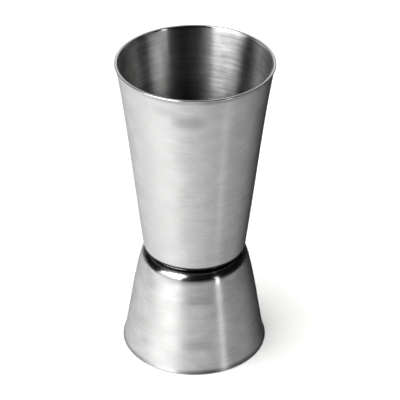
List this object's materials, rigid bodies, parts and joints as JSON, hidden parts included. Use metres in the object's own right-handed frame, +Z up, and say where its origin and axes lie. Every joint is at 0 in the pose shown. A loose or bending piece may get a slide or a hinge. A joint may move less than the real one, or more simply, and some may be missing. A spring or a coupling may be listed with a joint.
{
  "type": "bar jigger",
  "caption": "Hourglass bar measure: a tall and a short tapered steel cup joined bottom to bottom, brushed outside, with rolled-smooth rims; stands on either rim.",
  "frame": {"origin": "centre of the circle that the small cup's rim stands on", "axes": "+Z up along the axis of both cups, from the 20 ml cup's rim to the 40 ml cup's rim; X and Y are free, and weld_nugget_1 lies towards +Y"},
  "size_m": [0.0394, 0.0394, 0.0811],
  "materials": {
    "brushed_steel": "brushed round the axis outside, polished at the corners and rims, turned satin inside",
    "weld_steel": "dull fused steel, out of sight between the bottoms"
  },
  "bodies": {
    "root": {"upper_cup": "brushed_steel", "lower_cup": "brushed_steel", "weld_nugget_1": "weld_steel", "weld_nugget_2": "weld_steel", "weld_nugget_3": "weld_steel"}
  },
  "joints": []
}
